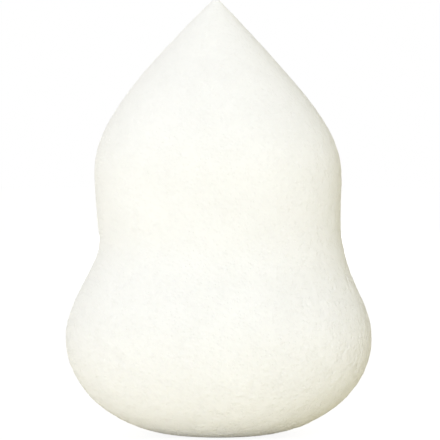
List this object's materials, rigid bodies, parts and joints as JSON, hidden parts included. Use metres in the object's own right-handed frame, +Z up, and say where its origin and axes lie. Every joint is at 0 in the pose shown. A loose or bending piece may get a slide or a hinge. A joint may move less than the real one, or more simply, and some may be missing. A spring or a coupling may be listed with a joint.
{
  "type": "makeup sponge",
  "caption": "Gourd-shaped foam makeup sponge with a pointed tip, a waist for the fingers and a wide round base.",
  "frame": {"origin": "centre of the flat spot that the sponge stands on", "axes": "+Z up the sponge's axis, from the foot to the tip; +X and +Y are free, because the sponge is round about +Z"},
  "size_m": [0.0421, 0.042, 0.06],
  "materials": {
    "foam": "matt open-cell foam, ivory, fine grain"
  },
  "bodies": {
    "root": {"sponge_body": "foam"}
  },
  "joints": []
}
